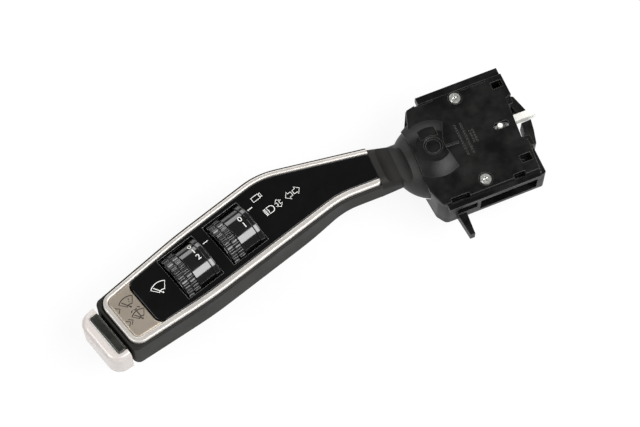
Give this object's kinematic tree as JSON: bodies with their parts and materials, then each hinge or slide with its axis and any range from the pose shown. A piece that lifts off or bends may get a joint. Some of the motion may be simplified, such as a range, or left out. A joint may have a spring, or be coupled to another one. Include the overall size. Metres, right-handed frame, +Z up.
{
  "type": "combination stalk switch",
  "caption": "Steering column stalk switch: cranked grip with turnable dials and an end push button, on a switch head with connector sockets and a cancelling finger.",
  "frame": {"origin": "on the head's flat back face, straight below the lever's pivot, under the pivot boss", "axes": "+Z up out of the head's cover, along the turn signal pivot; +X along the head, away from the lever and towards the steering column; +Y towards the far side rail"},
  "size_m": [0.2167, 0.063, 0.027],
  "materials": {
    "head_plastic": "matte, fine grained",
    "grip_plastic": "soft matte",
    "gloss_black": "piano gloss",
    "dial_knurl": "satin",
    "satin_nickel": "satin plated",
    "champagne": "satin",
    "pearl_plastic": "satin pearl",
    "natural_plastic": "self-coloured",
    "screw_steel": "zinc plated",
    "spring_steel": "drawn wire",
    "zinc_alloy": "as cast",
    "contact_metal": "tin over brass",
    "board_laminate": "lacquered",
    "chip_black": "moulded",
    "magnet_dark": "sintered"
  },
  "bodies": {
    "housing": {"head_housing": "head_plastic", "head_cover": "head_plastic", "cover_screws": "screw_steel", "circuit_board": "board_laminate", "terminal_pins": "contact_metal", "position_sensor": "chip_black", "detent_cam": "natural_plastic", "cancel_spring": "spring_steel"},
    "yoke": {"lever_yoke": "head_plastic", "yoke_magnet": "magnet_dark", "lever_pin": "screw_steel"},
    "lever": {"lever_core": "zinc_alloy", "dome_shroud": "head_plastic", "grip_shell": "grip_plastic", "trim_bezel": "satin_nickel", "face_panel": "gloss_black", "end_plate": "champagne", "dial_chassis": "head_plastic", "dial_axle": "screw_steel", "lever_board": "board_laminate", "push_switch": "chip_black", "core_screws": "screw_steel", "shell_screws": "screw_steel", "button_guide": "head_plastic", "detent_spring": "spring_steel", "button_spring": "spring_steel"},
    "plunger": {"detent_plunger": "natural_plastic"},
    "wiper_dial": {"wiper_dial_barrel": "gloss_black", "wiper_dial_grip": "dial_knurl"},
    "rear_dial": {"rear_dial_barrel": "gloss_black", "rear_dial_grip": "dial_knurl"},
    "end_button": {"end_button_cap": "pearl_plastic", "end_button_inlay": "head_plastic", "button_stem": "natural_plastic"},
    "slider": {"cancel_slider": "natural_plastic"},
    "finger": {"cancel_finger": "natural_plastic"}
  },
  "joints": [
    {"name": "turn_signal", "type": "hinge", "parent": "housing", "child": "yoke", "pos_m": [0, 0, 0.013], "axis": [0, 0, 1], "range_deg": [-8, 8]},
    {"name": "beam_tilt", "type": "hinge", "parent": "yoke", "child": "lever", "pos_m": [0, 0, 0.013], "axis": [0, 1, 0], "range_deg": [-5, 5], "stiffness_Nm_per_rad": 15},
    {"name": "detent_slide", "type": "slide", "parent": "lever", "child": "plunger", "axis": [1, 0, 0], "range_m": [-0.0015, 0.0009], "stiffness_N_per_m": 500, "deforming": ["detent_spring"]},
    {"name": "wiper_turn", "type": "hinge", "parent": "lever", "child": "wiper_dial", "pos_m": [-0.06192, 0.00689, 0.0138], "axis": [0.9573, 0.289, 0], "range_deg": [-40, 40]},
    {"name": "rear_turn", "type": "hinge", "parent": "lever", "child": "rear_dial", "pos_m": [-0.06192, 0.00689, 0.0138], "axis": [0.9573, 0.289, 0], "range_deg": [-40, 40]},
    {"name": "button_press", "type": "slide", "parent": "lever", "child": "end_button", "axis": [0.9573, 0.289, 0], "range_m": [0, 0.001], "stiffness_N_per_m": 800, "deforming": ["button_spring"]},
    {"name": "cancel_slide", "type": "slide", "parent": "housing", "child": "slider", "axis": [1, 0, 0], "range_m": [-0.0015, 0.0027], "stiffness_N_per_m": 300, "deforming": ["cancel_spring"]},
    {"name": "cancel_swing", "type": "hinge", "parent": "slider", "child": "finger", "pos_m": [0.0312, -0.00106, 0.0163], "axis": [0, 0, 1], "range_deg": [-1, 1], "stiffness_Nm_per_rad": 0.05}
  ]
}
